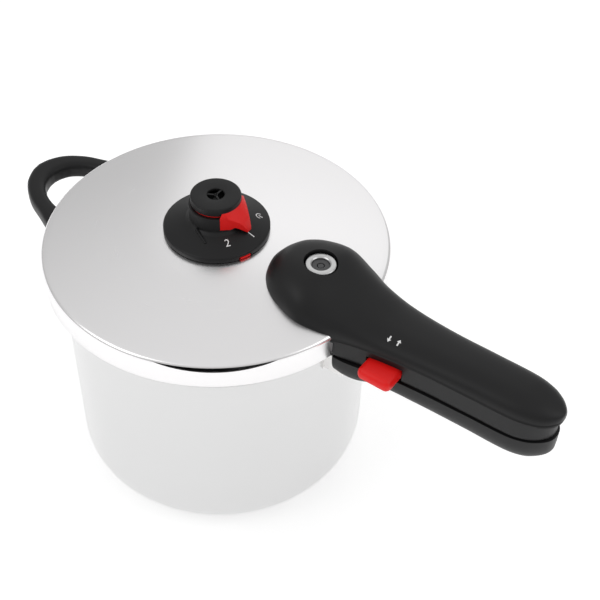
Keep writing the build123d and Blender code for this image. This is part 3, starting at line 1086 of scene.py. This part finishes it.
@dataclass
class PotHandle:
    """Lower half of the long handle, fixed to the pot."""

    stations: tuple = (
        (123, 29.5, 158.4, 3.2), (129, 29.6, 157, 3.2), (136, 28.6, 157, 3.2), (150, 25, 160.4, 3.2),
        (180, 22.2, 159.6, 3.2), (215, 20.8, 158.8, 3.2), (244, 20, 158, 3.2), (256, 16.9, 158.6, 3.2),
        (263, 12.4, 160.8, 3.2), (267.2, 8, 163.2, 3.2), (269, 4.4, 165.4, 3.2), (269.5, 1.5, 167, 3.2),
    )
    top_z: float = 179.6
    screw: tuple[float, float] = (150.0, 4.4)

    def build(self) -> None:
        """Builds and dresses the pot handle."""
        shape = LongHandle(self.stations, self.top_z, inner_radius=123.0)
        x, radius = self.screw
        pocket = box((110.0, -24.2, 150.0), (125.2, 24.2, 173.0))
        grip = cut(shape.mould(), drum(radius, 140, 166, x, steps=40), pocket)
        dress(grip, "pot_grip", Body.POT, BLACK, ["pot_handle"], edge=0.35, sharp=50.0)


@dataclass
class HelperHandle:
    """Loop handle opposite the long handles."""

    outer: tuple = ((-100, 50), (-125, 45), (-142, 38), (-158, 31), (-171, 20.5), (-177.6, 9), (-179.5, 0))
    gap: tuple = ((-121.0, 27), (-128, 27), (-146, 22.5), (-157.5, 14), (-161.5, 6), (-162.5, 0))
    inner_radius: float = 116.4
    root_radius: float = 124.0
    z: tuple[float, float] = (164.5, 178.6)
    fullness: float = 3.4
    rise: float = 0.065
    steps: int = 160
    around: int = 36

    def edge_point(self, points: Sequence[Point], radius: float, share: float) -> Vector:
        """Point on a closed outline: the loop's curve, then back along an arc at the pot.

        Args:
            points: Half of the loop's curve, from the pot to the middle.
            radius: Radius of the arc at the pot.
            share: Part of the way round, from 0 to 1; the curve takes the first 0.75.

        Returns:
            The point, at height 0.
        """
        curve_part = 0.75
        if share <= curve_part:
            way = share / curve_part
            if way <= 0.5:
                x, y = run(points, 2.0 * way)
            else:
                x, y = run(points, 2.0 - 2.0 * way)
                y = -y
            return Vector((x, y, 0.0))
        end = math.atan2(points[0][1], points[0][0])
        sweep = 2.0 * (math.pi - end)
        angle = -end + 2.0 * math.pi - sweep * (share - curve_part) / (1.0 - curve_part)
        return Vector((radius * math.cos(angle), radius * math.sin(angle), 0.0))

    def loop(self) -> BMesh:
        """The moulded loop with its root along the pot.

        Returns:
            The loop.
        """
        low, high = self.z

        def place(u: float, v: float) -> Vector:
            """Position of a grid vertex.

            Args:
                u: Part of the way round the loop.
                v: Part of the way round its section.

            Returns:
                The position.
            """
            c, up = math.cos(2.0 * math.pi * v), math.sin(2.0 * math.pi * v)
            grow = (abs(c) ** self.fullness + abs(up) ** self.fullness) ** (-1.0 / self.fullness)
            outside = self.edge_point(self.outer, self.inner_radius, u % 1.0)
            inside = self.edge_point(self.gap, self.root_radius, u % 1.0)
            at = outside.lerp(inside, 0.5 - 0.5 * grow * c)
            middle = (low + high) / 2 + self.rise * max(0.0, -at.x - self.root_radius)
            return Vector((at.x, at.y, middle + (high - low) / 2 * grow * up))

        return skin(self.steps, self.around, place)

    def build(self) -> None:
        """Builds and dresses the helper handle."""
        dress(self.loop(), "helper_grip", Body.POT, BLACK, ["helper_handle"], sharp=60.0)


# ---------------------------------------------------------------- valves


@dataclass
class SafetyValve:
    """Spring valve that stands up through the handle's head."""

    x: float = 88.0
    radius: float = 10.6
    top_z: float = 224.0
    bore: float = 6.2
    seat_z: float = 208.0
    plug_hole: float = 2.6
    plug_z: tuple[float, float] = (220.3, 222.2)

    def build(self) -> None:
        """Builds and dresses the valve."""
        barrel = (
            Pen(self.bore, self.seat_z).line(self.radius, self.seat_z).line(self.radius, self.top_z, 1.0, 5)
            .line(self.bore + 0.8, self.top_z, 0.5, 3).line(self.bore, self.top_z - 0.8).close()
        )
        stud = Pen(2.0, 197.5).line(5.0, 197.5).line(5.0, self.seat_z).line(2.0, self.seat_z).close()
        ring = join([turned(barrel.done(), steps=96), turned(stud.done(), steps=48)])
        low, high = self.plug_z
        plug = (
            Pen(self.plug_hole, low).line(self.bore, low).line(self.bore, high, 0.4, 3)
            .line(self.plug_hole, high, 0.4, 3).close()
        )
        rod = (
            Pen(0.0, 208.3).line(5.7, 208.3).line(5.7, 209.9).line(2.2, 209.9).line(2.2, 222.0, 0.5, 4)
            .line(0.0, 222.0)
        )
        for bm, name, body, finish, node in (
            (ring, "safety_ring", Body.LID, VALVE_STEEL, "safety_valve_body"),
            (turned(plug.done(), steps=64), "safety_plug", Body.LID, DARK_PLUG, "safety_valve_plug"),
            (turned(rod.done(), steps=48), "safety_rod", Body.SAFETY, DARK_PLUG, "safety_valve_plunger"),
        ):
            dress(moved(bm, (self.x, 0.0, 0.0)), name, body, finish, [node])


@dataclass
class Regulator:
    """Dial, pointer, turning cap and release tab on the lid's axis."""

    dial_radius: float = 37.4
    dial_z: float = 209.2
    rim_height: float = 3.6
    cone_foot: Point = (36.6, 213.5)
    cone_head: Point = (21.6, 219.2)
    neck: float = 19.2
    neck_z: tuple[float, float] = (220.8, 232.2)
    bore: float = 16.2
    floor_z: tuple[float, float] = (213.2, 215.0)
    stem: float = 6.1
    tab_angle: float = -20.0
    rib_ends: tuple = ((27.0, -67.0), (20.0, -97.0))
    rib_slope: float = 16.0
    pointer_z: tuple[float, float] = (232.6, 235.7)
    pointer_angle: float = 4.5
    sleeve: float = 15.9
    cap_radius: float = 17.6
    cap_z: tuple[float, float] = (236.0, 239.3)
    collar: float = 17.0
    skirt_z: float = 233.6
    outlet: float = 6.0
    roof: float = 1.9

    def dial(self) -> BMesh:
        """Conical dial with its neck and the notch for the tab.

        Returns:
            The dial.
        """
        floor_z, floor_top = self.floor_z
        neck_low, neck_high = self.neck_z
        rim_z = self.dial_z + self.rim_height
        outline = (
            Pen(self.stem, floor_z)
            .line(26.0, floor_z)
            .line(self.dial_radius - 1.8, rim_z - 1.8)
            .line(self.dial_radius - 1.8, self.dial_z)
            .line(self.dial_radius, self.dial_z, 0.4, 3)
            .line(self.dial_radius, rim_z, 0.5, 3)
            .line(*self.cone_foot, 0.6, 3)
            .line(*self.cone_head, 1.6, 4)
            .line(self.neck, neck_low, 1.2, 4)
            .line(self.neck, neck_high, 0.6, 3)
            .line(self.bore, neck_high, 0.5, 3)
            .line(self.bore, floor_top)
            .line(self.stem, floor_top)
            .close()
        )
        body = turned(outline.done(), steps=144)
        notch = moved(box((28.0, -5.0, 205.0), (40.0, 5.0, 211.4), 0.3, 2), turn=self.tab_angle)
        return cut(body, notch)

    def rib(self) -> BMesh:
        """Raised rib across the cone.

        Returns:
            The rib.
        """
        foot, head = (
            Vector((reach * math.cos(math.radians(angle)), reach * math.sin(math.radians(angle)), 0.0))
            for reach, angle in self.rib_ends
        )
        middle = (foot + head) / 2
        along = foot - head
        bar = box((-along.length / 2, -0.9, -3.0), (along.length / 2, 0.9, 1.2), 0.6, 3)
        rotated(bar, self.rib_slope, "Y")
        turn = math.degrees(math.atan2(along.y, along.x))
        return moved(bar, (middle.x, middle.y, self.cone_z(middle.length)), turn)

    def cone_z(self, reach: float) -> float:
        """Height of the cone's face.

        Args:
            reach: Distance from the axis.

        Returns:
            The height.
        """
        (foot, low), (head, high) = self.cone_foot, self.cone_head
        return low + (foot - reach) / (foot - head) * (high - low)

    def steam_sign(self) -> BMesh:
        """Flat sign for letting off steam: a curl with a stroke inside.

        Returns:
            The sign, centred on the origin.
        """
        middle = (0.0, 0.0)
        curl = Pen(2.6, 0.0).arc(middle, 215.0, 18).line(-1.6, -1.1).arc(middle, -215.0, 18).close()
        stroke = Pen(-0.4, -2.4).line(0.4, -2.4).line(0.4, 0.6).line(-0.4, 0.6).close()
        signs = [curl.done(), stroke.done()]
        for sign in signs:
            bmesh.ops.contextual_create(sign, geom=sign.edges[:])
            rotated(sign, -90.0, "X")
        return join(signs)

    def marks(self, surface: BVHTree) -> BMesh:
        """Settings printed on the cone: two numbers and a steam sign.

        Args:
            surface: The dial.

        Returns:
            The marks.
        """
        flat = []
        for character, reach, angle in (("1", 29.2, 3.5), ("2", 27.0, -35.5)):
            sign = moved(glyph(character, 7.6), (reach, 0.0, 0.0), 90.0)
            flat.append(moved(sign, turn=angle))
        flat.append(moved(moved(self.steam_sign(), (30.0, 0.0, 0.0), 60.0), turn=45.0))
        return join([draped(sign, surface, 0.08) for sign in flat])

    def pointer(self) -> BMesh:
        """Ring with a wedge-shaped arm that reaches down over the dial.

        Returns:
            The pointer.
        """
        low, high = self.pointer_z
        bore = self.sleeve + 0.05
        outer = self.neck - 0.6
        clear = self.neck + 0.3
        ring = (
            Pen(bore, low).line(self.collar - 0.1, low).line(self.collar - 0.1, high, 0.3, 3)
            .line(bore, high).close()
        )
        wrap = (
            Pen(17.0, low).line(clear, low).line(clear, 223.0).line(20.9, 222.6, 0.3, 3)
            .line(21.8, 224.6, 0.8, 5).line(27.6, 218.4, 0.3, 3).line(27.6, 220.0, 0.6, 4)
            .line(24.5, 226.5, 12.0, 8).line(outer - 1.0, high, 1.0, 4).line(17.0, high).close()
        )
        plan = (
            Pen(13.0, -14.6).line(27.2, -2.2, 0.8, 4).line(27.2, 2.2, 0.8, 4).line(13.0, 14.6).close()
        )
        wedge = rotated(prism(plan.done(), -240.0, -210.0), -90.0, "X")
        half = moved(turned(wrap.done(), steps=60, degrees=160.0), turn=-80.0)
        arm = cut(half, wedge, operation="INTERSECT")
        return moved(join([turned(ring.done(), steps=96), arm]), turn=self.pointer_angle)

    def cap(self) -> BMesh:
        """Turning cap with a spoked steam outlet.

        Returns:
            The cap.
        """
        low, high = self.cap_z
        roof_z = high - self.roof
        outline = (
            Pen(14.0, 222.5).line(self.sleeve, 222.5).line(self.sleeve, low).line(self.collar, low)
            .line(self.collar, self.skirt_z).line(self.cap_radius, self.skirt_z, 0.2, 3)
            .line(self.cap_radius, high, 1.0, 6).line(self.outlet, high, 0.7, 4).line(self.outlet, roof_z)
            .line(14.0, roof_z).close()
        )
        spokes = [
            moved(box((0.0, -0.7, roof_z), (self.outlet + 0.5, 0.7, high - 0.6), 0.25, 2), turn=angle)
            for angle in (90.0, 210.0, 330.0)
        ]
        return join([turned(outline.done(), steps=96), drum(1.3, roof_z, high - 0.6, steps=24), *spokes])

    def build(self) -> None:
        """Builds and dresses the regulator."""
        dial = self.dial()
        surface = BVHTree.FromBMesh(dial)
        marks = self.marks(surface)
        tab = moved(box((29.0, -4.0, 209.6), (37.9, 4.0, 210.9), 0.5, 3), turn=self.tab_angle)
        dress(dial, "dial", Body.LID, BLACK, ["valve_dial"], sharp=30.0)
        dress(self.rib(), "dial_rib", Body.LID, BLACK)
        dress(marks, "dial_marks", Body.LID, MARKING)
        dress(self.pointer(), "pointer", Body.SELECTOR, RED, ["selector_pointer"], edge=0.35, sharp=40.0)
        dress(self.cap(), "regulator_cap", Body.SELECTOR, BLACK, ["selector_cap"], sharp=30.0)
        dress(tab, "release_tab", Body.RELEASE, RED, ["valve_release_tab"])


# ---------------------------------------------------------------- studio


@dataclass
class Studio:
    """Pale floor, soft light and the camera."""

    eye: tuple[float, float, float] = (0.3822, -0.4554, 0.7284)
    forward: tuple[float, float, float] = (-0.3989, 0.5862, -0.7052)
    roll: float = 0.0336
    lens: float = 67.35
    sensor: float = 36.0
    floor_size: float = 12.0

    def camera(self) -> None:
        """Places the camera."""
        ahead = Vector(self.forward).normalized()
        right = ahead.cross(Vector((0.0, 0.0, 1.0))).normalized()
        up = right.cross(ahead)
        rolled_right = right * math.cos(self.roll) + up * math.sin(self.roll)
        rolled_up = up * math.cos(self.roll) - right * math.sin(self.roll)
        data = bpy.data.cameras.new("camera")
        data.lens = self.lens
        data.sensor_width = self.sensor
        camera = bpy.data.objects.new("camera", data)
        bpy.context.scene.collection.objects.link(camera)
        turn = Matrix((rolled_right, rolled_up, -ahead)).transposed()
        camera.matrix_world = Matrix.Translation(self.eye) @ turn.to_4x4()
        bpy.context.scene.camera = camera

    def floor(self) -> None:
        """Lays the pale floor."""
        bm = bmesh.new()
        bmesh.ops.create_grid(bm, x_segments=1, y_segments=1, size=self.floor_size / 2)
        floor = to_object(bm, "floor")
        material = bpy.data.materials.new("floor")
        material.use_nodes = True
        shader = material.node_tree.nodes["Principled BSDF"]
        shader.inputs["Base Color"].default_value = (0.85, 0.85, 0.85, 1.0)
        shader.inputs["Roughness"].default_value = 0.9
        shader.inputs["Emission Color"].default_value = (1.0, 1.0, 1.0, 1.0)
        shader.inputs["Emission Strength"].default_value = 0.44
        floor.data.materials.append(material)

    def lamp(self, name: str, place: Sequence[float], size: float, power: float) -> None:
        """Hangs a square soft light that faces the object.

        Args:
            name: Its name.
            place: Its position.
            size: Its side.
            power: Its power in watts.
        """
        data = bpy.data.lights.new(name, "AREA")
        data.size = size
        data.energy = power
        lamp = bpy.data.objects.new(name, data)
        bpy.context.scene.collection.objects.link(lamp)
        away = Vector(place) - Vector((0.04, 0.0, 0.12))
        lamp.matrix_world = Matrix.Translation(place) @ away.to_track_quat("Z", "Y").to_matrix().to_4x4()

    def sky(self) -> None:
        """Soft room light: a little darker low down, brighter overhead."""
        world = bpy.data.worlds.new("studio")
        bpy.context.scene.world = world
        world.use_nodes = True
        nodes, links = world.node_tree.nodes, world.node_tree.links
        place = nodes.new("ShaderNodeTexCoord")
        parts = nodes.new("ShaderNodeSeparateXYZ")
        ramp = nodes.new("ShaderNodeValToRGB")
        ramp.color_ramp.elements[0].position = 0.45
        ramp.color_ramp.elements[0].color = (0.66, 0.66, 0.66, 1.0)
        ramp.color_ramp.elements[1].position = 0.9
        ramp.color_ramp.elements[1].color = (0.95, 0.95, 0.95, 1.0)
        links.new(place.outputs["Generated"], parts.inputs[0])
        links.new(parts.outputs["Z"], ramp.inputs["Fac"])
        links.new(ramp.outputs["Color"], nodes["Background"].inputs["Color"])
        nodes["Background"].inputs["Strength"].default_value = 0.82

    def build(self) -> None:
        """Builds the studio."""
        bpy.context.scene.view_settings.view_transform = "Standard"
        self.floor()
        self.camera()
        self.lamp("key", (-0.5, -0.9, 1.1), 0.8, 2.5)
        self.lamp("side", (1.0, 0.3, 0.9), 0.7, 1.5)
        self.lamp("back", (-0.4, 1.0, 0.8), 0.9, 1.0)
        self.sky()


def dress_internals() -> None:
    """Gives every CAD node the finish of its record's material slot; the needle gets black plastic instead,
    as painted shade.
    """
    for row in frame["record"]["subparts"]:
        mesh = frame["nodes"][row["node"]].data
        # The needle's black finish is painted shade for the dark steam outlet.
        finish = SHADE_PAINTED_NODES.get(row["node"], NODE_FINISHES[row["material_slot"]])
        mesh.materials.clear()
        mesh.materials.append(WORKSHOP.material(finish))


def main() -> None:
    """Builds the cooker in order, then the studio."""
    dress_internals()
    lid = Lid()
    Pot().build()
    lid.build()
    LidHandle(lid).build()
    PotHandle().build()
    HelperHandle().build()
    SafetyValve().build()
    Regulator().build()
    Studio().build()


if __name__ == "__main__":
    main()
